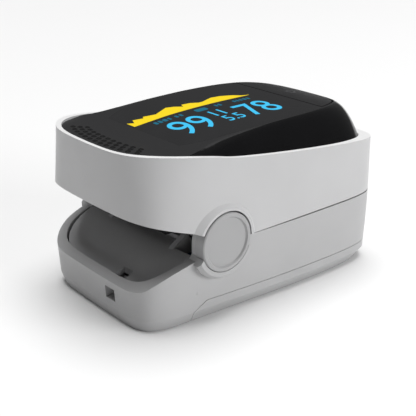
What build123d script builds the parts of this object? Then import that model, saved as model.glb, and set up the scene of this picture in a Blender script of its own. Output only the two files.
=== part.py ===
from build123d import *
import math
import os

os.makedirs("parts", exist_ok=True)

# Fingertip pulse oximeter, millimetres.  -X mouth, +X rear, Y along the hinge axis, Z up.
# Origin: middle of the footprint on the surface it stands on.

HALF_LENGTH = 30.6        # nose and rear both reach this far from the middle
HALF_WIDTH = 19.7         # side walls at the parting line
CAP_FACE = 20.2           # outer face of the round hinge caps
PARTING_Z = 15.6          # where the two jaws meet behind the hinge
SEAM_GAP = 0.3            # gap between the jaws behind the hinge
AXIS_X, AXIS_Z = -13.4, 15.9
CAP_RADIUS = 5.75
COLLAR_RADIUS = 6.05      # round notch of the upper shell over the cap
BOSS_RADIUS = 7.3
PIN_RADIUS = 1.2
FLOAT_TRAVEL = 5.0        # how far the upper jaw can lift off the lower one
WALL = 1.7
COVER_TOP_Z = 4.2         # top edge of the battery cover on the side walls
CELL_RADIUS, CELL_LENGTH = 5.15, 43.6
CELL_X0, CELL_X1, CELL_Y, CELL_Z = -17.3, 26.9, 5.6, 6.55
BEARING_GAP = 0.05        # radial and side clearance of the bushes
BUTTON_GAP = 0.28         # shadow groove round the power button
BUTTON_X = 22.6           # middle of the switch under the button
PCB_Z = 28.4              # top of the main board
BOARD_SCREWS = [(-20, 0), (12, -13.2), (12, 13.2)]

# side-view lines, each as (x, z)
CROWN = [(-31.2, 33.5), (-27, 33.35), (-22, 33.0), (-18, 33.1), (-14, 33.5), (-8, 34.05),
         (0, 34.4), (8, 34.5), (18, 34.35), (24, 33.8), (28.3, 32.9), (31.2, 32.0)]
RIM = [(-31.2, 33.8), (-26, 33.7), (-20, 33.1), (-15, 32.3), (-10.7, 31.4), (-1.2, 30.1),
       (9.2, 28.9), (16.5, 28.2), (24, 27.6), (31.2, 27.0)]
LIP = [(-31.2, 7.9), (-30.2, 8.0), (-29, 8.6), (-27.5, 9.9), (-25, 11.4), (-22, 12.5), (-19, 13.3),
       (-14, 14.4), (-9, 15.3)]
TRAY = [(-31.2, 7.7), (-28, 8.0), (-25, 9.2), (-21.5, 11.3), (-18, 12.85), (-13, 13.1), (-9, 13.1),
        (31, 13.1)]


def line_height(points, x):
    """Height of a smooth side-view line at x (cubic blend between its points)."""
    n = len(points)
    if x <= points[0][0]:
        return points[0][1]
    if x >= points[-1][0]:
        return points[-1][1]
    i = next(k for k in range(n - 1) if points[k + 1][0] >= x)

    def slope(k):
        a, b = points[max(k - 1, 0)], points[min(k + 1, n - 1)]
        return (b[1] - a[1]) / (b[0] - a[0])
    (x0, z0), (x1, z1) = points[i], points[i + 1]
    h = x1 - x0
    t = (x - x0) / h
    return ((2 * t**3 - 3 * t**2 + 1) * z0 + (t**3 - 2 * t**2 + t) * h * slope(i)
            + (3 * t**2 - 2 * t**3) * z1 + (t**3 - t**2) * h * slope(i + 1))


def plan_point(angle, front, rear, half, n_front, n_rear, waist=0.0):
    """Point on a rounded-rectangle-like plan; the waist narrows the front part."""
    c, s = math.cos(angle), math.sin(angle)
    n = n_rear if c >= 0 else n_front
    reach = rear if c >= 0 else front
    x = reach * math.copysign(abs(c) ** (2 / n), c)
    y = half * math.copysign(abs(s) ** (2 / n), s)
    t = min(max((-x - 3) / 15, 0), 1)
    return x, y * (1 - waist * t * t * (3 - 2 * t))


def plan_face(z, *shape, count=44):
    points = [plan_point(2 * math.pi * (k + 0.5) / count, *shape) for k in range(count)]
    return Face(Wire([Edge.make_spline([Vector(x, y, z) for x, y in points], periodic=True)]))


def stack(*levels):
    """Solid through plan outlines, each level being (z, front, rear, half, n_front, n_rear, waist)."""
    return Solid.make_loft([plan_face(*level).outer_wire() for level in levels], ruled=True)


def inset(level, amount):
    z, front, rear, half, n_front, n_rear, waist = level
    return (z, front - amount, rear - amount, half - amount, n_front, n_rear, waist)


def box(x0, x1, y0, y1, z0, z1):
    return Pos((x0 + x1) / 2, (y0 + y1) / 2, (z0 + z1) / 2) * Box(x1 - x0, y1 - y0, z1 - z0)


def rod(x, z, radius, y0, y1):
    """Cylinder along Y."""
    return Pos(x, (y0 + y1) / 2, z) * Rot(90, 0, 0) * Cylinder(radius, y1 - y0)


def cone_y(x, z, r0, r1, y0, y1):
    """Cone along Y with radius r0 at y0 and r1 at y1."""
    body = Cone(r0, r1, abs(y1 - y0))
    turn = -90 if y1 > y0 else 90
    return Pos(x, (y0 + y1) / 2, z) * Rot(turn, 0, 0) * body


def side_cut(points, z_limit, extra=0.0, x0=None, x1=None):
    """Full-width block between a side-view line and a level, to cut a solid along that line."""
    lo = points[0][0] if x0 is None else x0
    hi = points[-1][0] if x1 is None else x1
    count = 26
    line = [Vector(x, 0, line_height(points, x) + extra)
            for x in (lo + (hi - lo) * k / count for k in range(count + 1))]
    top = Edge.make_spline(line)
    corners = [line[-1], Vector(hi, 0, z_limit), Vector(lo, 0, z_limit), line[0]]
    edges = [top] + [Edge.make_line(corners[k], corners[k + 1]) for k in range(3)]
    face = Face(Wire(edges))
    return Solid.extrude(face.moved(Location((0, -26, 0))), Vector(0, 52, 0))


def mirrored(y0, y1, side):
    return (y0, y1) if side > 0 else (-y1, -y0)


# ------------------------------------------------------------------ outer forms
# plan outlines: (front, rear, half width, front roundness, rear roundness, waist)
LOWER = [(0.0, 29.2, 28.9, 18.2, 8, 7.5, 0.10),
         (2.4, 29.9, 30.3, 19.5, 7, 8, 0.10),
         (9.0, 30.25, 30.55, 19.7, 6.5, 8, 0.075),
         (PARTING_Z - SEAM_GAP / 2, 30.3, HALF_LENGTH, HALF_WIDTH, 6, 8, 0.05)]
UPPER = [(PARTING_Z + SEAM_GAP / 2, 29.9, HALF_LENGTH, HALF_WIDTH, 6, 8, 0.0),
         (36.0, HALF_LENGTH, 30.4, 19.3, 3.5, 8, 0.0)]
PANEL = (22.0, 28.3, 14.75, 3.0, 3.0, 0.0)         # edge of the flat top panel
RIM_INNER = (29.75, 29.3, 18.45, 3.5, 5.5, 0.0)    # where the black cover meets the rim
BOSS_ENDS = [[(-21.4, 10.8), (-18.5, 14.4), (-18.5, 24), (-26, 24), (-26, 10.8)],
             [(-5.6, 10.6), (-8.3, 14.3), (-8.3, 24), (-2, 24), (-2, 10.6)]]    # slanting ends of the boss
MOUTH = [(-31.2, 22.2), (-29, 21.7), (-26, 20.9), (-22, 19.7), (-19, 18.7), (-16.5, 17.6), (-13.4, 16.5)]


def shrink(outline, amount):
    front, rear, half, n_front, n_rear, waist = outline
    return (front - amount, rear - amount, half - amount, n_front, n_rear, waist)


def shoulder_cut(side):
    """Block above the sloping shoulder between the panel edge and the rim, one half."""
    rows = []
    for k in range(33):
        angle = side * math.pi * min(k / 32, 0.9999)
        px, py = plan_point(angle, *PANEL)
        rx, ry = plan_point(angle, *RIM_INNER)
        zp, zr = line_height(CROWN, px), line_height(RIM, rx) - 0.15
        row = []
        for v in [1.25 * j / 8 for j in range(9)]:
            bulge = 0.85 * v * (1 - v) * max(zp - zr, 0)
            row.append(Vector(px + (rx - px) * v, py + (ry - py) * v, zp + (zr - zp) * v + bulge))
        rows.append(row)
    skin = Face.make_surface_from_array_of_points(rows, tol=0.01)
    return Solid.extrude(skin, Vector(0, 0, 16))


def tidy(shape):
    """The one main solid of a boolean result."""
    return max(shape.solids(), key=lambda s: s.volume)


def hole(x, y, radius, z0, z1):
    return Pos(x, y, (z0 + z1) / 2) * Cylinder(radius, z1 - z0)


# ------------------------------------------------------------------ lower jaw
def tray_height(x, y):
    base, lip = line_height(TRAY, x), line_height(LIP, x)
    return base + max(lip - base, 0.0) * min(abs(y) / 17.4, 1.15) ** 2.6


def tray_skin(dz):
    xs = [-31.2 + 62.4 * k / 26 for k in range(27)]
    ys = [-21 + 42 * k / 14 for k in range(15)]
    return Face.make_surface_from_array_of_points(
        [[Vector(x, y, tray_height(x, y) + dz) for y in ys] for x in xs], tol=0.03)


def lip_block():
    """Everything above the mouth lip, and above the parting plane behind it."""
    return side_cut(LIP, 40, 0.0, -31.2, -9.0) + box(-9.0, 32, -26, 26, PARTING_Z - SEAM_GAP / 2, 40)


def lanyard_hole():
    """Angled hole for a wrist cord: in through the front wall, out through the tray."""
    front = box(-32, -27.6, -7.4, -4.4, 4.1, 6.6)
    up = box(-28.6, -25.6, -7.4, -4.4, 4.1, 12)
    return front + up


def cover_region(gap):
    """Space of the battery cover: the bottom and a strip of wall, from under the hinge to the rear."""
    top = COVER_TOP_Z - gap
    pts = [(-19.2 + gap, -1), (-19.2 + gap, 2.3), (-16.4 + gap, top), (34, top), (34, -1)]
    face = Face(Wire.make_polygon([Vector(x, -26, z) for x, z in pts]))
    return Solid.extrude(face, Vector(0, 52, 0))


def side_wedge(points):
    """Full-width prism with the given side-view outline, to trim a solid along slanting lines."""
    face = Face(Wire.make_polygon([Vector(x, -26, z) for x, z in points]))
    return Solid.extrude(face, Vector(0, 52, 0))


def hinge_mount(side):
    """Boss round the cap, lug behind it and the post below."""
    boss = rod(AXIS_X, AXIS_Z, BOSS_RADIUS, *mirrored(15.9, 19.3, side))
    tip = cone_y(AXIS_X, AXIS_Z, BOSS_RADIUS, BOSS_RADIUS - 0.6, side * 19.3, side * 20.0)
    ring = (boss + tip) - box(-40, 0, -30, 30, 14.6, 40) - side_wedge(BOSS_ENDS[0]) - side_wedge(BOSS_ENDS[1])
    lug = rod(AXIS_X, AXIS_Z, 5.4, *mirrored(16.4, 17.7, side))
    post = box(AXIS_X - 5.4, AXIS_X + 5.4, *mirrored(16.4, 17.9, side), 6, AXIS_Z)
    return ring + lug + post


def make_lower_shell():
    full = stack(*LOWER)
    inner = [inset(level, WALL) for level in LOWER]
    inner[0] = (WALL,) + inner[0][1:]
    inner[-1] = (PARTING_Z + 4,) + inner[-1][1:]
    body = full - lip_block() - stack(*inner)
    body = body + (full & box(-31, -25.2, -9, 9, 1, 7.0))
    # shelves, hanging rails of the battery cover, end wall and rib of the cell bay
    for side in (-1, 1):
        shelf = box(-12.5, 20, *mirrored(15.0, 19, side), 5.2, 6.2)
        rail = box(-12.5, 20, *mirrored(15.0, 16.0, side), 2.4, 6.2)
        foot = box(-12.5, 20, *mirrored(14.0, 15.2, side), 2.4, 3.2)
        post = hole(23.8, side * 14.2, 2.3, 4.9, 11.8) + box(23.2, 24.4, *mirrored(14.2, 19, side), 6, 11)
        body = body + ((shelf + post) & full)
        body = body - cover_region(0.0) + rail + foot
    body = body + (box(-20.4, -19.4, -17.4, 17.4, 2.6, 10.2) - cover_region(0.0))
    body = body + box(27.65, 29.2, -12, 12, 4.4, 11.4)
    body = body + box(CELL_X0 + 1.5, 27.2, -0.25, 0.25, 7.8, 11.4)
    for side in (-1, 1):
        body = body + hinge_mount(side)
        body = body - rod(AXIS_X, AXIS_Z, CAP_RADIUS + 0.12, *mirrored(17.7, 22, side))
        body = body - rod(AXIS_X, AXIS_Z, PIN_RADIUS, *mirrored(12, 22, side))
        body = body - box(AXIS_X - 8, AXIS_X + 8, *mirrored(12.5, 16.4, side), 4.25, 30)
        body = body - hole(23.8, side * 14.2, 0.8, 4, 13) - hole(23.8, side * 14.2, 1.9, 4, 6.1)
    return tidy(body - lanyard_hole())


def make_battery_cover():
    gap = 0.12
    inner = [inset(level, 1.6) for level in LOWER]
    inner[0] = (1.2,) + inner[0][1:]
    body = (stack(*LOWER) & cover_region(gap)) - stack(*inner)
    for side in (-1, 1):
        body = body + box(-12.2, 20, *mirrored(12.4, 13.4, side), 1.0, 4.0)
        body = body + box(-12.2, 20, *mirrored(13.3, 14.8, side), 3.45, 4.0)
    for k in range(6):
        body = body - box(20.5 + 1.2 * k, 21.1 + 1.2 * k, -5 + 0.5 * k, 5 - 0.5 * k, -1, 0.35)
    return tidy(body)


def make_finger_tray():
    levels = [inset(level, WALL + 0.05) for level in LOWER]
    plug = stack((6.0,) + levels[1][1:], (PARTING_Z + 3,) + levels[3][1:])
    body = plug & Solid.extrude(tray_skin(-1.2), Vector(0, 0, 1.2))
    ramp = side_wedge([(-20, 12.0), (-19.2, 12.6), (-15.4, 15.2), (-15.4, 20), (-20, 20)])
    for side in (-1, 1):
        body = body - box(-18.5, -6.4, *mirrored(10.8, 30, side), 0, 40)
        body = body + (box(-19.2, 18, *mirrored(9.6, 10.8, side), 10.9, 15.1) - ramp)
        body = body - hole(23.8, side * 14.2, 0.8, 8, 20)
    body = body + box(17, 18.2, -10.8, 10.8, 12.2, 15.3)
    body = body - box(-4.6, 4.6, -3.6, 3.6, 10, 16) - box(18.9, 19.7, -3.4, 3.4, 10, 16)
    return tidy(body - lanyard_hole())


def make_lower_pad():
    """Thin soft bed on the tray, round the sensor window."""
    slab = Solid.extrude(tray_skin(0.02), Vector(0, 0, 0.9))
    body = slab & box(-16, 16.6, -8.9, 8.9, 10, 18)
    return tidy(body - box(-4.7, 4.7, -3.7, 3.7, 10, 16))


def make_cell(side):
    """Small round cell with its button end; the two lie head to tail."""
    can = Pos((CELL_X0 + CELL_X1) / 2, side * CELL_Y, CELL_Z) * Rot(0, 90, 0) * Cylinder(CELL_RADIUS, CELL_LENGTH)
    can = fillet(can.edges(), 0.5)
    x = CELL_X1 - 0.35 if side > 0 else CELL_X0 + 0.35
    nub = Pos(x, side * CELL_Y, CELL_Z) * Rot(0, 90, 0) * Cylinder(1.9, 0.7)
    return tidy(can + nub)


def ring_coil(x0, x1, y, z, radius, wire, turns):
    """Open coil along X."""
    helix = Edge.make_helix((x1 - x0) / turns, x1 - x0, radius)
    section = Plane(origin=helix @ 0, z_dir=helix % 0) * Circle(wire)
    body = sweep(section, path=helix)
    return Pos(x0, y, z) * Rot(0, 90, 0) * body


def make_torsion_spring(side):
    """Coil round the pin; its short legs are not modelled."""
    low, high = 11.2, 12.9
    helix = Edge.make_helix((high - low) / 2, high - low, 2.1)
    body = sweep(Plane(origin=helix @ 0, z_dir=helix % 0) * Circle(0.28), path=helix)
    start = low if side > 0 else -high
    return tidy(Pos(AXIS_X, start, AXIS_Z) * Rot(-90, 0, 0) * body)


def make_cap(side):
    """Round cap over the pin end, with a dished face inside a flat rim ring."""
    body = rod(AXIS_X, AXIS_Z, CAP_RADIUS, *mirrored(17.75, CAP_FACE, side))
    body = chamfer(body.edges().sort_by(Axis.Y)[-1 if side > 0 else 0], 0.2)
    dish = cone_y(AXIS_X, AXIS_Z, 4.7, 5.0, side * (CAP_FACE - 0.35), side * (CAP_FACE + 0.05))
    return tidy(body - dish - rod(AXIS_X, AXIS_Z, PIN_RADIUS, *mirrored(17, 18.7, side)))


def make_bush(side):
    """Square bush that turns on the pin and slides in the slot of the upper jaw."""
    half = 2.5
    body = box(AXIS_X - half, AXIS_X + half, *mirrored(13.5, 16.25, side), AXIS_Z - half, AXIS_Z + half)
    return tidy(body - rod(AXIS_X, AXIS_Z, PIN_RADIUS + BEARING_GAP, *mirrored(13, 17, side)))


# ------------------------------------------------------------------ upper jaw
def make_upper_shell():
    wall = inset(UPPER[0], WALL)[1:]
    cavity = stack((PARTING_Z - 2,) + wall, (26.0,) + wall)
    rim_room = Solid.extrude(plan_face(25.9, *shrink(RIM_INNER, -0.04)), Vector(0, 0, 12))
    mouth_cut = side_cut(MOUTH, 10, 0.0, -31.2, AXIS_X)
    body = stack(*UPPER) - cavity - rim_room - side_cut(RIM, 46)
    for side in (-1, 1):
        collar = cone_y(AXIS_X, AXIS_Z, 7.9, 6.6, side * 19.0, side * 20.05)
        collar = collar & box(-40, 10, -30, 30, PARTING_Z + SEAM_GAP / 2, 40)
        ear = box(AXIS_X - 4.6, AXIS_X + 4.6, *mirrored(13.9, 15.9, side), 8.2, 24.9)
        bridge = box(AXIS_X - 4.6, AXIS_X + 4.6, *mirrored(15.0, 18.6, side), 22.3, 24.9)
        body = body + collar + bridge
        body = body - mouth_cut + ear
        y = mirrored(17.6, 22, side)
        body = body - rod(AXIS_X, AXIS_Z, COLLAR_RADIUS, *y)
        body = body - box(AXIS_X - COLLAR_RADIUS, AXIS_X + COLLAR_RADIUS, *y, 10, AXIS_Z)
        half = 2.5 + BEARING_GAP
        body = body - box(AXIS_X - half, AXIS_X + half, *mirrored(13, 16.2, side),
                          AXIS_Z - half - FLOAT_TRAVEL, AXIS_Z + half)
    return tidy(body)


def panel_block(gap, depth):
    """The flat display panel, from its front fade-out to the seam of the button."""
    body = Solid.extrude(plan_face(26, *shrink(PANEL, 0.3 + gap)), Vector(0, 0, 12))
    body = body & box(-17.5 + gap, 17.75 - gap, -20, 20, 26, 40)
    return body - side_cut(CROWN, 10, -depth)


def button_block(gap):
    body = Solid.extrude(plan_face(24, *shrink(PANEL, 0.5 - gap)), Vector(0, 0, 14))
    return body & box(18.0 - gap, 32, -20, 20, 24, 40)


def make_top_cover():
    """Glossy black cover: nose, crown and sloping shoulders, open below."""
    body = Solid.extrude(plan_face(26.4, *RIM_INNER), Vector(0, 0, 12)) - side_cut(CROWN, 46)
    for side in (-1, 1):
        body = body - shoulder_cut(side)
    room = stack((26.0, 28.4, 28.0, 17.1, 3.5, 5.5, 0.0), (28.6, 28.3, 27.4, 16.0, 3.5, 5.0, 0.0),
                 (31.7, 26.5, 25.0, 12.6, 3.5, 4.0, 0.0))
    body = body - room - side_cut(RIM, 10, -1.7) - panel_block(0.0, 0.9) - button_block(BUTTON_GAP)
    return tidy(body - box(-18, 16.4, -12.2, 12.2, 26, 31.9))


def make_display_window():
    return tidy(panel_block(0.02, 0.88) - side_cut(CROWN, 46))


def make_power_button():
    body = button_block(0.0) - side_cut(CROWN, 46) - side_cut(CROWN, 10, -1.6)
    body = body + (hole(BUTTON_X, 0, 1.5, 31.0, 33.2) - side_cut(CROWN, 46, -0.8))
    body = body + box(16.8, 20, -8, 8, 31.0, 31.55) + box(18.2, 20, -8, 8, 31.4, 33.2)
    return tidy(body)


def make_inner_frame():
    """Roof of the finger channel inside the upper jaw; carries the electronics."""
    body = stack((25.0, 28.3, 28.2, 17.2, 4.0, 5.5, 0.0), (26.2, 28.2, 28.1, 17.1, 4.0, 5.5, 0.0))
    for side in (-1, 1):
        body = body - box(AXIS_X - 5, AXIS_X + 5, *mirrored(13.5, 18, side), 20, 27)
        body = body + box(-19.0, 16.5, *mirrored(9.6, 10.6, side), 16.3, 25.4)
    for x, y in BOARD_SCREWS:
        body = body + hole(x, y, 1.5, 26.1, PCB_Z - 0.8) - hole(x, y, 0.68, 26.3, PCB_Z)
    body = body + box(15.6, 16.6, -10.6, 10.6, 16.0, 25.4)
    return tidy(body - box(-3.6, 3.6, -3.1, 3.1, 20, 27) - box(18.9, 19.7, -3.4, 3.4, 20, 27))


def make_upper_pad():
    """Soft black pad under the roof with a cheek on each side of the finger."""
    body = box(-25, 15.4, -9.4, 9.4, 15.2, 24.9)
    body = body - Pos(-4, 0, 15.2) * Rot(0, 90, 0) * Cylinder(8.2, 60)
    cheek = [(-25.2, 26), (-25.2, 22.0), (-21.4, 17.0), (-19.4, 15.5), (-15.2, 15.3), (-12.0, 16.6),
             (16, 17.6), (16, 26)]
    keep = Solid.extrude(Face(Wire.make_polygon([Vector(x, -12, z) for x, z in cheek])), Vector(0, 24, 0))
    return tidy((body & keep) - box(-3.4, 3.4, -3.0, 3.0, 20, 27))


def make_main_board():
    body = box(-22, 25.2, -10, 10, PCB_Z - 0.8, PCB_Z) + box(-16, 16, -14.6, 14.6, PCB_Z - 0.8, PCB_Z)
    body = body - box(18.6, 20.0, -3.6, 3.6, 27, 29)
    for x, y in BOARD_SCREWS:
        body = body - hole(x, y, 0.7, 27, 29)
    return tidy(body)


def make_screw(x, y, z_head, down, up, head=1.3):
    """Screw with its head above z_head (up > 0) or below it; shank the other way."""
    shank = hole(x, y, 0.65, min(z_head, z_head + down), max(z_head, z_head + down))
    cap = hole(x, y, head, min(z_head, z_head + up), max(z_head, z_head + up))
    slot = box(x - 0.9, x + 0.9, y - 0.18, y + 0.18, z_head + up - 0.3, z_head + up + 0.3)
    return tidy(shank + cap - slot)


def add(name, shape):
    export_step(shape, f"parts/{name}.step")


def build_lower():
    add("lower_shell", make_lower_shell())
    add("battery_cover", make_battery_cover())
    add("finger_tray", make_finger_tray())
    add("lower_finger_pad", make_lower_pad())
    add("photodiode_board", tidy(box(-4.4, 4.4, -3.4, 3.4, 11.95, 12.35)))
    add("photodiode", tidy(box(-1.6, 1.6, -1.6, 1.6, 12.35, 12.9)))
    add("sensor_window", tidy(box(-4.5, 4.5, -3.5, 3.5, 12.95, 13.75)))
    for name, side in (("left", -1), ("right", 1)):
        add(f"battery_{name}", make_cell(side))
        y = side * CELL_Y
        add(f"battery_spring_{name}", tidy(ring_coil(-19.0, CELL_X0 - 0.35, y, CELL_Z, 2.6, 0.25, 2.5)))
        add(f"spring_plate_{name}", tidy(box(-19.38, -19.26, y - 4, y + 4, 3.2, 10)))
        add(f"hinge_pin_{name}", tidy(rod(AXIS_X, AXIS_Z, PIN_RADIUS, *mirrored(10.9, 18.65, side))))
        add(f"hinge_cap_{name}", make_cap(side))
        add(f"pivot_bush_{name}", make_bush(side))
        add(f"torsion_spring_{name}", make_torsion_spring(side))
        add(f"lower_screw_{name}", make_screw(23.8, side * 14.2, 6.1, 6.6, -1.1, 1.7))
    add("rear_contact", tidy(box(27.3, 27.6, -10, 10, 4.6, 9.6)))


def build_upper():
    add("upper_shell", make_upper_shell())
    add("top_cover", make_top_cover())
    add("display_window", make_display_window())
    add("power_button", make_power_button())
    add("switch_plunger", tidy(hole(BUTTON_X, 0, 1.0, 29.6, 30.98)))
    switch = box(BUTTON_X - 3, BUTTON_X + 3, -3, 3, PCB_Z, 30.3) - hole(BUTTON_X, 0, 1.06, 29.0, 31)
    add("power_switch", tidy(switch))
    add("upper_inner_frame", make_inner_frame())
    add("upper_finger_pad", make_upper_pad())
    add("main_board", make_main_board())
    add("microcontroller", tidy(box(-7.5, -0.5, -3.5, 3.5, PCB_Z, PCB_Z + 0.9)))
    add("buzzer", tidy(hole(20.8, 7.6, 2.2, PCB_Z, PCB_Z + 1.6)))
    holder = box(-17.2, 16.2, -11.8, 11.8, PCB_Z, 30.05) - box(-16, 15, -10.4, 10.4, 28, 31)
    add("display_holder", tidy(holder))
    add("display_back", tidy(box(-16.6, 15.9, -11.4, 11.4, 30.05, 30.8)))
    add("display_glass", tidy(box(-16.9, 16.1, -11.6, 11.6, 30.8, 31.5)))
    add("display_flex", tidy(box(-17.9, -17.3, -5, 5, 28.5, 30.9) - box(-17.75, -17.2, -6, 6, 28.65, 30.75)))
    add("emitter_board", tidy(box(-5, 5, -4.5, 4.5, 26.22, 26.8)))
    add("red_led", tidy(box(-2.2, -0.4, -0.8, 0.8, 25.3, 26.22)))
    add("infrared_led", tidy(box(0.4, 2.2, -0.8, 0.8, 25.3, 26.22)))
    add("emitter_window", tidy(box(-3.3, 3.3, -2.9, 2.9, 23.9, 24.95)))
    for name, (x, y) in zip(("front", "left", "right"), BOARD_SCREWS):
        add(f"board_screw_{name}", make_screw(x, y, PCB_Z, -2.0, 0.7))
    add("flex_ribbon", tidy(box(19.25, 19.4, -3, 3, 12.3, 26.6)))


build_lower()
build_upper()
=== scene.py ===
"""Fingertip pulse oximeter: finishes, display picture, surface detail, studio and camera."""
import math

import bpy
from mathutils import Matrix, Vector
from mathutils.bvhtree import BVHTree


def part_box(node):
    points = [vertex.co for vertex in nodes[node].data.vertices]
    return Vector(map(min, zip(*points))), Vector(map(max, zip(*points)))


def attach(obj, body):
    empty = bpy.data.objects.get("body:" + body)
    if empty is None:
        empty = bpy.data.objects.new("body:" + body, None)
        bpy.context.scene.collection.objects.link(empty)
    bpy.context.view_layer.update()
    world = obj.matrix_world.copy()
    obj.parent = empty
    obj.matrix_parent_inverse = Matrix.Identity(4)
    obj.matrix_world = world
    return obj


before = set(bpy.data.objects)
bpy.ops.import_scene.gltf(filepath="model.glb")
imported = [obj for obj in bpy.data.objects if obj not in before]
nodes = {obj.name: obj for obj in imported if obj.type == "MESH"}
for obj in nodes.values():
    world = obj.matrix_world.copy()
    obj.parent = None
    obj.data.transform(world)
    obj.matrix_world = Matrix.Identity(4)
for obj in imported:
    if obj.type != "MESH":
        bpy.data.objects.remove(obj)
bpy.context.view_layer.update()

MM = 0.001
NOISE_RANGE = (0.3, 0.7)  # where nearly all of a noise texture's values lie
SATIN_SLOPES = (0.945, 0.975)  # upward part of the normal where gloss ends and satin begins


# ---------------------------------------------------------------- materials
class Paint:
    """A procedural material: one Principled shader and the few nodes that vary it."""

    def __init__(self, name, colour, rough, **sockets):
        self.mat = bpy.data.materials.new(name)
        self.mat.use_nodes = True
        self.tree = self.mat.node_tree
        self.shader = self.tree.nodes["Principled BSDF"]
        self.colour, self.rough = colour, rough
        self.set("Base Color", (*colour, 1))
        self.set("Roughness", rough)
        for socket, value in sockets.items():
            self.set(socket.replace("_", " "), value)
        self.coordinates = self.node("ShaderNodeTexCoord")
        self.coords = self.coordinates.outputs["Object"]

    def node(self, kind, **inputs):
        made = self.tree.nodes.new(kind)
        for socket, value in inputs.items():
            self.feed(made.inputs[socket.replace("_", " ")], value)
        return made

    def feed(self, socket, value):
        if isinstance(value, bpy.types.NodeSocket):
            self.tree.links.new(value, socket)
        else:
            socket.default_value = value

    def set(self, socket, value):
        self.feed(self.shader.inputs[socket], value)

    def noise(self, size_mm, detail):
        """Noise whose features are about size_mm across."""
        scale = 1 / (size_mm * MM)
        made = self.node("ShaderNodeTexNoise", Vector=self.coords, Scale=scale, Detail=detail)
        return made.outputs["Fac"]

    def between(self, fac, low, high, ramp=NOISE_RANGE):
        """Maps fac from the ramp's ends to the numbers low..high."""
        mapped = self.node(
            "ShaderNodeMapRange",
            Value=fac,
            From_Min=ramp[0],
            From_Max=ramp[1],
            To_Min=low,
            To_Max=high,
        )
        return mapped.outputs["Result"]

    def blend(self, fac, first, second):
        """The first colour where fac is 0, the second where it is 1."""
        mix = self.node("ShaderNodeMix")
        mix.data_type = "RGBA"
        self.feed(mix.inputs["Factor"], fac)
        for socket, colour in ((mix.inputs[6], first), (mix.inputs[7], second)):
            self.feed(socket, colour if isinstance(colour, bpy.types.NodeSocket) else (*colour, 1))
        return mix.outputs[2]

    def mottle(self, size_mm, share):
        """A slow change of shade across the surface, share being the depth of it."""
        deep = tuple(c * (1 - share) for c in self.colour)
        fac = self.between(self.noise(size_mm, 2), 0, 1)
        self.set("Base Color", self.blend(fac, self.colour, deep))
        return self

    def uneven(self, size_mm, spread):
        """Roughness that wanders by the spread either way."""
        fac = self.noise(size_mm, 4)
        self.set("Roughness", self.between(fac, self.rough - spread, self.rough + spread))
        return self

    def grain(self, size_mm, height_mm, strength, detail=3):
        """Fine surface texture as a bump."""
        bump = self.node(
            "ShaderNodeBump",
            Height=self.noise(size_mm, detail),
            Distance=height_mm * MM,
            Strength=strength,
        )
        self.set("Normal", bump.outputs["Normal"])
        return self

    def facing_up(self, low, high):
        """0 on walls, 1 where the surface's own normal points up, easing between the two slopes."""
        normal = self.node("ShaderNodeSeparateXYZ", Vector=self.coordinates.outputs["Normal"])
        return self.between(normal.outputs["Z"], 0, 1, (low, high))

    def above(self, height_mm):
        """0 below a height at rest, 1 above it, with a short ease."""
        ease_mm = 0.6
        return self.between(self.axis("Z"), 0, 1, (height_mm * MM, (height_mm + ease_mm) * MM))

    def both(self, first, second):
        """The product of two masks."""
        product = self.node("ShaderNodeMath")
        product.operation = "MULTIPLY"
        self.feed(product.inputs[0], first)
        self.feed(product.inputs[1], second)
        return product.outputs["Value"]

    def recolour(self, fac, colour):
        """Lays another colour over the present one."""
        now = self.shader.inputs["Base Color"].links[0].from_socket
        self.set("Base Color", self.blend(fac, now, colour))
        return self

    def axis(self, name):
        """The object-space coordinate along one axis, in metres."""
        parts = self.node("ShaderNodeSeparateXYZ", Vector=self.coords)
        return parts.outputs[name]


def moulded(name, colour, rough, grain_mm=0.22, height_mm=0.004, **sockets):
    """Injection-moulded plastic: fine spark texture, faint flow shading, uneven gloss."""
    paint = Paint(name, colour, rough, IOR=sockets.pop("IOR", 1.47), **sockets)
    return paint.mottle(14, 0.045).uneven(3.5, 0.045).grain(grain_mm, height_mm, 0.5)


def gloss(name, colour, rough):
    """Polished black plastic, with the slight waviness of a moulded surface."""
    paint = Paint(name, colour, rough, IOR=1.34)
    return paint.mottle(9, 0.25).uneven(6, 0.03).grain(9, 0.012, 0.35, detail=1)


def painted_rim_highlight(paint, colour, above_mm):
    """Paints a highlight: lightens what faces up above a height, standing in for the light on the rim
    of the upper shell.
    """
    # rim is the mask of the painted highlight: up-facing surfaces above the height get a lighter
    # colour
    rim = paint.both(paint.facing_up(0.35, 0.8), paint.above(above_mm))
    return paint.recolour(rim, colour)


def half_gloss(name, colour, rough, flat_colour, flat_rough):
    """Polished on the sloping shoulders and satin on the flat top, like the panel beside it."""
    paint = gloss(name, colour, rough)
    flat = paint.facing_up(*SATIN_SLOPES)
    paint.recolour(flat, flat_colour)
    paint.set("Roughness", paint.between(flat, rough, flat_rough, (0, 1)))
    return paint


def rubber(name, colour):
    """Soft pad material with a dull, slightly dusty surface."""
    paint = Paint(name, colour, 0.72, IOR=1.5, Sheen_Weight=0.12, Sheen_Roughness=0.5)
    return paint.mottle(6, 0.2).uneven(1.6, 0.08).grain(0.16, 0.01, 0.8)


def metal(name, colour, rough):
    """Bare or plated metal with fine handling marks."""
    paint = Paint(name, colour, rough, Metallic=1.0)
    return paint.mottle(4, 0.16).uneven(0.6, 0.09).grain(0.12, 0.003, 0.6)


def clear(name, colour, rough, see_through):
    """Clear or tinted plastic; see_through is the share of light that it lets in."""
    paint = Paint(name, colour, rough, IOR=1.46, Transmission_Weight=see_through)
    return paint.uneven(2, min(rough * 0.5, 0.05)).grain(1.5, 0.004, 0.3)


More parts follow.
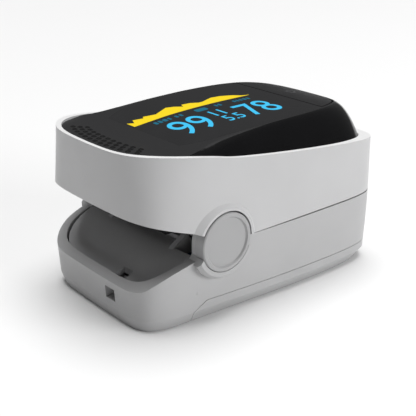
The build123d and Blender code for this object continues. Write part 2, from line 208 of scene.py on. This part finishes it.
def circuit_board(name):
    """Solder mask with copper runs showing through as paler lines, and drilled vias."""
    mask, copper, plating = (0.006, 0.085, 0.035), (0.02, 0.19, 0.075), (0.72, 0.52, 0.2)
    run_pitch_mm, via_pitch_mm = 3.1, 2.3
    paint = Paint(name, mask, 0.32, IOR=1.5, Coat_Weight=0.3, Coat_Roughness=0.15)
    runs = paint.node(
        "ShaderNodeTexBrick",
        Vector=paint.coords,
        Scale=1 / (run_pitch_mm * MM),
        Mortar_Size=0.035,
        Color1=(0, 0, 0, 1),
        Color2=(0, 0, 0, 1),
        Mortar=(1, 1, 1, 1),
    )
    dots = paint.node("ShaderNodeTexVoronoi", Vector=paint.coords, Scale=1 / (via_pitch_mm * MM))
    via = paint.between(dots.outputs["Distance"], 1, 0, (0.11, 0.14))
    tracks = paint.blend(runs.outputs["Color"], mask, copper)
    paint.set("Base Color", paint.blend(via, tracks, plating))
    return paint.uneven(1.2, 0.06).grain(0.5, 0.01, 0.5)


def dry_cell(name, plus_at_high_x):
    """A small round cell: printed sleeve, a band over its plus third and bare metal ends."""
    sleeve, band, steel = (0.02, 0.055, 0.13), (0.62, 0.35, 0.05), (0.6, 0.6, 0.6)
    paint = Paint(name, sleeve, 0.3, Coat_Weight=0.4, Coat_Roughness=0.12)
    low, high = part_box(name)
    share = paint.between(paint.axis("X"), 0, 1, (low.x, high.x))
    if not plus_at_high_x:
        share = paint.between(share, 1, 0, (0, 1))
    in_band = paint.between(share, 0, 1, (0.70, 0.705))
    shade = paint.blend(in_band, sleeve, band)
    rim = 0.9 * MM / (high.x - low.x)  # the bare minus end, as a share of the length
    bare_minus = paint.between(share, 1, 0, (rim, rim * 1.2))
    bare_plus = paint.between(share, 0, 1, (1 - rim * 2.4, 1 - rim * 2.2))
    ends = paint.node("ShaderNodeMath", Value=bare_minus)
    ends.operation = "MAXIMUM"
    paint.feed(ends.inputs[1], bare_plus)
    paint.set("Base Color", paint.blend(ends.outputs["Value"], shade, steel))
    paint.set("Metallic", ends.outputs["Value"])
    return paint.uneven(1.5, 0.06).grain(0.4, 0.003, 0.4)


def glowing(name, colour, strength):
    """A lit display colour on black, with a faint unevenness in the light."""
    paint = Paint(name, (0.004, 0.004, 0.004), 0.4, IOR=1.2, Emission_Strength=strength)
    dark = tuple(c * 0.93 for c in colour)
    fac = paint.between(paint.noise(0.35, 1), 0, 1, (0.35, 0.65))
    paint.set("Emission Color", paint.blend(fac, colour, dark))
    return paint


SHELL = moulded("shell_white", (0.50, 0.50, 0.505), 0.34)
# The upper shell's up-facing rim gets a painted highlight, lighter than the plastic itself is
WHITE_WITH_PAINTED_RIM = painted_rim_highlight(SHELL, (0.80, 0.80, 0.80), above_mm=26.0)
GREY = moulded("shell_grey", (0.43, 0.43, 0.434), 0.40)
TRAY = moulded("tray_grey", (0.47, 0.47, 0.475), 0.36, grain_mm=0.3, height_mm=0.005)
CAP = moulded("cap_grey", (0.36, 0.36, 0.364), 0.34, grain_mm=0.18, height_mm=0.004)
PANEL = moulded("panel_black", (0.016, 0.016, 0.017), 0.42, grain_mm=0.14, height_mm=0.003, IOR=1.28)
BUTTON = moulded("button_black", (0.015, 0.015, 0.016), 0.40, grain_mm=0.14, height_mm=0.003, IOR=1.28)
FRAME_PLASTIC = moulded("frame_plastic", (0.05, 0.05, 0.055), 0.5)
BEARING = moulded("bearing_plastic", (0.75, 0.74, 0.70), 0.33)
CHIP = moulded("chip_black", (0.012, 0.012, 0.013), 0.55, grain_mm=0.08, height_mm=0.006)
COVER = half_gloss("cover_black", (0.0045, 0.0045, 0.005), 0.13, (0.015, 0.015, 0.016), 0.42)
DARK_RUBBER = rubber("rubber_black", (0.010, 0.010, 0.011))
GREY_RUBBER = rubber("rubber_grey", (0.30, 0.30, 0.31))
BOARD = circuit_board("board_green")
OLED_BACK = moulded("display_glass", (0.01, 0.012, 0.016), 0.16, grain_mm=2.5, height_mm=0.002)
FLEX = moulded("flex_amber", (0.42, 0.17, 0.025), 0.3, grain_mm=0.4, height_mm=0.004)
SPRING = metal("spring_steel", (0.56, 0.56, 0.58), 0.26)
NICKEL = metal("contact_nickel", (0.66, 0.62, 0.54), 0.22)
SCREW = metal("screw_steel", (0.32, 0.32, 0.34), 0.34)
PIN = metal("pin_steel", (0.62, 0.62, 0.63), 0.18)
WINDOW = clear("window_clear", (0.82, 0.84, 0.86), 0.06, see_through=0.85)
DIODE = moulded("diode_dark", (0.03, 0.012, 0.02), 0.12, grain_mm=0.5, height_mm=0.001)
LED_RED = clear("led_red", (0.9, 0.10, 0.08), 0.12, see_through=0.5)
LED_IR = clear("led_infrared", (0.22, 0.22, 0.30), 0.12, see_through=0.5)
INK = moulded("icon_grey", (0.11, 0.11, 0.115), 0.5, grain_mm=0.1, height_mm=0.002)
RING = gloss("ring_black", (0.003, 0.003, 0.003), 0.12)
CYAN = glowing("lit_cyan", (0.055, 0.60, 0.98), 1.0)
TEAL = glowing("lit_teal", (0.010, 0.17, 0.27), 0.9)
YELLOW = glowing("lit_yellow", (1.0, 0.74, 0.010), 1.0)

FINISH = {
    "lower_shell": GREY,
    "battery_cover": GREY,
    "finger_tray": TRAY,
    "lower_finger_pad": GREY_RUBBER,
    "photodiode_board": BOARD,
    "photodiode": DIODE,
    "sensor_window": WINDOW,
    "battery_left": dry_cell("battery_left", True),
    "battery_right": dry_cell("battery_right", False),
    "rear_contact": NICKEL,
    "upper_shell": WHITE_WITH_PAINTED_RIM,
    "top_cover": COVER,
    "display_window": PANEL,
    "power_button": BUTTON,
    "switch_plunger": FRAME_PLASTIC,
    "power_switch": NICKEL,
    "upper_inner_frame": FRAME_PLASTIC,
    "upper_finger_pad": DARK_RUBBER,
    "main_board": BOARD,
    "microcontroller": CHIP,
    "buzzer": CHIP,
    "display_holder": FRAME_PLASTIC,
    "display_back": OLED_BACK,
    "display_glass": OLED_BACK,
    "display_flex": FLEX,
    "emitter_board": BOARD,
    "red_led": LED_RED,
    "infrared_led": LED_IR,
    "emitter_window": WINDOW,
    "flex_ribbon": FLEX,
    "board_screw_front": SCREW,
}
for side in ("left", "right"):
    FINISH.update(
        {
            f"battery_spring_{side}": SPRING,
            f"spring_plate_{side}": NICKEL,
            f"hinge_pin_{side}": PIN,
            f"hinge_cap_{side}": CAP,
            f"pivot_bush_{side}": BEARING,
            f"torsion_spring_{side}": SPRING,
            f"lower_screw_{side}": SCREW,
            f"board_screw_{side}": SCREW,
        }
    )

for name, obj in nodes.items():
    obj.data.materials.clear()
    obj.data.materials.append(FINISH[name].mat)


# ---------------------------------------------------------------- display picture
TILE_LIFT = 0.03  # how far a lit or printed tile stands above its surface, in mm


def surface_of(*names):
    """The height of the named nodes' top surface above a point of the plan."""
    above_all = 0.06
    trees = []
    for name in names:
        mesh = nodes[name].data
        points = [v.co.copy() for v in mesh.vertices]
        trees.append(BVHTree.FromPolygons(points, [tuple(p.vertices) for p in mesh.polygons]))

    def height(x, y):
        start, down = Vector((x, y, above_all)), Vector((0, 0, -1))
        tops = [tree.ray_cast(start, down)[0] for tree in trees]
        tops = [p.z for p in tops if p is not None]
        if not tops:
            raise ValueError(f"no surface of {names} under {x:.4f}, {y:.4f}")
        return max(tops)

    return height


def finish_piece(obj, paint, body):
    """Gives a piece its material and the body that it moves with."""
    obj.data.materials.clear()
    obj.data.materials.append(paint.mat)
    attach(obj, body)


def new_object(name, points, faces):
    mesh = bpy.data.meshes.new(name)
    mesh.from_pydata(points, [], faces)
    mesh.update()
    obj = bpy.data.objects.new(name, mesh)
    bpy.context.scene.collection.objects.link(obj)
    return obj


def raised(name, flat_points, faces, height, lift=TILE_LIFT, thick=TILE_LIFT):
    """A thin tile with a front, a back and walls, whose front follows the surface under it.

    An edge that two faces share is met once each way, so only the outline gets walls.
    """
    count = len(flat_points)
    tops = [(x, y, height(x, y) + lift * MM) for x, y in flat_points]
    lows = [(x, y, z - thick * MM) for x, y, z in tops]
    sides = {}
    for face in faces:
        for a, b in zip(face, face[1:] + face[:1]):
            if (b, a) in sides:
                del sides[(b, a)]
            else:
                sides[(a, b)] = True
    walls = [(b, a, a + count, b + count) for a, b in sides]
    backs = [tuple(i + count for i in reversed(face)) for face in faces]
    return new_object(name, tops + lows, list(faces) + backs + walls)


def flat_text(words):
    """The outline of the digits as flat triangles, in the font's own units."""
    curve = bpy.data.curves.new("digits", "FONT")
    curve.body, curve.resolution_u = words, 6
    obj = bpy.data.objects.new("digits", curve)
    bpy.context.scene.collection.objects.link(obj)
    bpy.context.view_layer.update()
    mesh = bpy.data.meshes.new_from_object(obj.evaluated_get(bpy.context.evaluated_depsgraph_get()))
    points = [(v.co.x, v.co.y) for v in mesh.vertices]
    faces = [tuple(p.vertices) for p in mesh.polygons]
    bpy.data.objects.remove(obj)
    bpy.data.meshes.remove(mesh)
    return welded(points, faces)


def welded(points, faces):
    """Joins points that lie on each other, so that walls are made only at the outline."""
    seen, index, kept = {}, [], []
    for x, y in points:
        key = (round(x, 4), round(y, 4))
        if key not in seen:
            seen[key] = len(kept)
            kept.append((x, y))
        index.append(seen[key])
    joined = [tuple(index[i] for i in face) for face in faces]
    return kept, [f for f in joined if len(set(f)) == len(f)]


def digits(name, words, x_range, y_range, paint, height):
    """Digits that fill a rectangle of the display, given in millimetres."""
    points, faces = flat_text(words)
    lows = [min(p[k] for p in points) for k in (0, 1)]
    highs = [max(p[k] for p in points) for k in (0, 1)]

    def placed(point):
        share = [(point[k] - lows[k]) / (highs[k] - lows[k]) for k in (0, 1)]
        return tuple(MM * (r[0] + s * (r[1] - r[0])) for s, r in zip(share, (x_range, y_range)))

    obj = raised(name, [placed(p) for p in points], faces, height)
    finish_piece(obj, paint, "upper_jaw")


def strip(name, base_y, profile, paint, height, step=0.4):
    """A filled graph: straight lower edge, and an upper edge through the profile's points."""
    first, last = profile[0][0], profile[-1][0]
    stops = sorted(
        {p[0] for p in profile} | {first + step * i for i in range(1, int((last - first) / step))}
    )
    points, faces = [], []
    for x in stops:
        (x0, y0), (x1, y1) = next(pair for pair in zip(profile, profile[1:]) if pair[1][0] >= x)
        top = y0 + (y1 - y0) * (x - x0) / (x1 - x0)
        points += [(x * MM, base_y * MM), (x * MM, top * MM)]
    for a in range(0, 2 * len(stops) - 2, 2):
        faces.append((a, a + 2, a + 3, a + 1))
    obj = raised(name, points, faces, height)
    finish_piece(obj, paint, "upper_jaw")


def outline_tile(name, outline, paint, height, body="upper_jaw"):
    """A small convex tile, fanned about its middle."""
    centre = tuple(sum(p[k] for p in outline) / len(outline) for k in (0, 1))
    points = [(x * MM, y * MM) for x, y in [centre, *outline]]
    n = len(outline)
    faces = [(0, 1 + i, 1 + (i + 1) % n) for i in range(n)]
    finish_piece(raised(name, points, faces, height), paint, body)


def label_blocks(name, x_start, y_low, widths, tall, gap, paint, height):
    """A row of small blocks with rounded corners, in the place of a printed label."""
    corner_share = 0.25
    x = x_start
    for i, width in enumerate(widths):
        r = min(width, tall) * corner_share
        outline = []
        for cx, cy, turn in (
            (x + width - r, y_low + r, -90),
            (x + width - r, y_low + tall - r, 0),
            (x + r, y_low + tall - r, 90),
            (x + r, y_low + r, 180),
        ):
            for part in (0, 45, 90):
                angle = math.radians(turn + part)
                outline.append((cx + r * math.cos(angle), cy + r * math.sin(angle)))
        outline_tile(f"{name}_{i + 1}", outline, paint, height)
        x += width + gap


# The graph's upper edge, as (x, y) in mm on the plan of the display.
WAVE = [
    (-17.0, 5.6), (-15.9, 4.6), (-15.2, 6.2), (-13.2, 5.4), (-12.7, 6.2), (-10.2, 5.3),
    (-6.4, 7.1), (-4.8, 6.4), (-3.4, 5.1), (-2.9, 6.4), (-0.9, 6.1), (0.6, 5.1), (1.6, 5.1),
    (4.8, 6.3), (7.2, 6.0), (9.6, 4.9), (11.0, 3.6), (12.6, 3.1),
]
GRAPH_BASE = 3.0
# Each reading's digits, and the x and y ranges that they fill.
READINGS = {
    "oxygen_reading": ("99", (-13.3, -4.9), (-8.8, -0.9)),
    "pulse_reading": ("78", (3.2, 11.6), (-9.2, -1.5)),
    "middle_reading": ("5.5", (-2.6, 1.7), (-8.6, -5.3)),
    "middle_index": ("11", (-2.4, 0.2), (-4.4, -1.1)),
}
# Each label's left end, lower edge, block widths, block height and the gap between blocks.
LABELS = {
    "oxygen_label": (-13.6, 0.5, (0.7, 0.7, 0.9, 0.5), 1.3, 0.35),
    "unit_label": (-8.6, 0.5, (0.6, 0.6), 1.2, 0.5),
    "bar_label": (-3.6, 0.2, (2.9,), 1.6, 0.35),
    "index_label": (1.6, 0.5, (0.5, 0.6), 1.2, 0.4),
    "rate_label": (6.4, 0.5, (0.6, 0.5, 0.6, 0.7, 0.6), 1.1, 0.35),
}

panel_height = surface_of("display_window")
strip("pulse_graph", GRAPH_BASE, WAVE, YELLOW, panel_height)
for name, (words, x_range, y_range) in READINGS.items():
    digits(name, words, x_range, y_range, CYAN, panel_height)
for name, (left, low_edge, widths, tall, gap) in LABELS.items():
    label_blocks(name, left, low_edge, widths, tall, gap, TEAL, panel_height)


# ---------------------------------------------------------------- small surface detail
ARC_STEP = 7.5  # degrees between the points of an arc
BAND_ROOT = 0.02  # how far the back of a band lies below its surface, in mm

ICON_CENTRE = (22.7, 0.6)
ICON_RADIUS = 0.95
ICON_STROKE = 0.24
ICON_GAP = 60  # degrees left open at the top of the arc
ICON_BAR = (0.25, 1.2)  # where the bar starts and ends above the centre

# Each row's inset and its number of rings.
RING_ROWS = ((1.1, 13), (2.5, 12), (3.9, 11))
RING_PITCH = 1.75
RING_RADIUS = 0.40
RING_STROKE = 0.22
RING_LIFT = 0.07
NOSE_X = -29.0  # the middle of the nose, which the rows' insets are measured from
NOSE_BEND = (2.6, 12, 2.6)  # the rows bend back this far, this far to the side, by this power


def band(name, centre, radius, stroke, start, sweep, height, paint, body, slot, lift=TILE_LIFT):
    """Part of a flat ring on a surface: an arc, in degrees, of the given stroke."""
    steps = int(sweep / ARC_STEP)
    stops = steps if sweep == 360 else steps + 1
    points, faces = [], []
    for i in range(stops):
        angle = math.radians(start + sweep * i / steps)
        for r in (radius - stroke / 2, radius + stroke / 2):
            x, y = centre[0] + r * math.cos(angle), centre[1] + r * math.sin(angle)
            points.append((MM * x, MM * y))
    for a in range(0, 2 * steps, 2):
        b = (a + 2) % len(points)
        faces.append((a, a + 1, b + 1, b))
    obj = raised(name, points, faces, height, lift, lift + BAND_ROOT)
    finish_piece(obj, paint, body)


def power_icon():
    """A broken ring with a bar standing in its gap, printed on the button."""
    height = surface_of("power_button")
    band(
        "power_icon_arc", ICON_CENTRE, ICON_RADIUS, ICON_STROKE,
        90 + ICON_GAP / 2, 360 - ICON_GAP, height, INK, "button", "button_black",
    )
    half = ICON_STROKE / 2
    x0, x1 = ICON_CENTRE[0] - half, ICON_CENTRE[0] + half
    y0, y1 = (ICON_CENTRE[1] + reach for reach in ICON_BAR)
    outline = [(x0, y0), (x1, y0), (x1, y1), (x0, y1)]
    outline_tile("power_icon_bar", outline, INK, height, "button")


def nose_rings():
    """Three staggered rows of tiny raised rings that follow the curve of the nose."""
    height = surface_of("top_cover", "display_window")
    back, at_y, power = NOSE_BEND
    for row, (inset, count) in enumerate(RING_ROWS):
        for i in range(count):
            y = (i - (count - 1) / 2) * RING_PITCH
            x = NOSE_X + inset + back * (abs(y) / at_y) ** power
            band(
                f"nose_ring_{row + 1}_{i + 1}", (x, y), RING_RADIUS, RING_STROKE, 0, 360,
                height, RING, "upper_jaw", "cover_black", RING_LIFT,
            )


power_icon()
nose_rings()


# ---------------------------------------------------------------- studio
def aim(obj, place, target):
    """Puts a lamp or camera at a place and points it at a target."""
    obj.location = place
    obj.rotation_mode = "QUATERNION"
    obj.rotation_quaternion = (Vector(target) - Vector(place)).to_track_quat("-Z", "Y")


def lamp(name, place, target, size, watts):
    """A rectangular soft light."""
    data = bpy.data.lights.new(name, "AREA")
    data.shape, data.size, data.size_y = "RECTANGLE", *size
    data.energy = watts
    obj = bpy.data.objects.new(name, data)
    bpy.context.scene.collection.objects.link(obj)
    aim(obj, place, target)
    return obj


def ceiling(name, source, spread_degrees, strength):
    """A wide soft light from above that is as strong at any distance, so the floor stays even."""
    data = bpy.data.lights.new(name, "SUN")
    data.angle, data.energy = math.radians(spread_degrees), strength
    obj = bpy.data.objects.new(name, data)
    bpy.context.scene.collection.objects.link(obj)
    aim(obj, source, (0, 0, 0))


def floor():
    """A plain white floor, just under the part's base."""
    edge, level = 3.0, -0.02 * MM
    corners = [(x * edge, y * edge, level) for x, y in ((-1, -1), (1, -1), (1, 1), (-1, 1))]
    obj = new_object("floor", corners, [(0, 1, 2, 3)])
    paint = Paint("floor_white", (0.83, 0.83, 0.83), 0.8)
    obj.data.materials.append(paint.mat)


def sky(strength):
    """A dim even light from all round; where the sky itself is in view it is plain white."""
    world = bpy.data.worlds.new("studio")
    world.use_nodes = True
    tree = world.node_tree
    background = tree.nodes["Background"]
    background.inputs["Color"].default_value = (1, 1, 1, 1)
    in_view = tree.nodes.new("ShaderNodeLightPath").outputs["Is Camera Ray"]
    choose = tree.nodes.new("ShaderNodeMapRange")
    choose.inputs["To Min"].default_value, choose.inputs["To Max"].default_value = strength, 1.0
    tree.links.new(in_view, choose.inputs["Value"])
    tree.links.new(choose.outputs["Result"], background.inputs["Strength"])
    bpy.context.scene.world = world


def camera(place, target, lens_mm):
    """The main view: from above and beyond the nose, to its -y side."""
    data = bpy.data.cameras.new("photo_camera")
    data.sensor_width, data.lens = 36, lens_mm
    data.clip_start, data.clip_end = 0.005, 20
    obj = bpy.data.objects.new("photo_camera", data)
    bpy.context.scene.collection.objects.link(obj)
    aim(obj, place, target)
    bpy.context.scene.camera = obj


floor()
sky(strength=0.13)
ceiling("overhead", source=(0.25, 0.22, 2.0), spread_degrees=46, strength=3.05)
side_lamp = lamp(
    "side", place=(0.29, -0.59, 0.20), target=(0, 0, 0.02), size=(0.45, 0.25), watts=2.9
)
side_lamp.visible_glossy = False
camera(
    place=(-0.10682, -0.12589, 0.08038),
    target=(0.00220, 0.00404, 0.01103),
    lens_mm=73.56,
)
bpy.context.scene.view_settings.view_transform = "Standard"

bpy.context.view_layer.update()
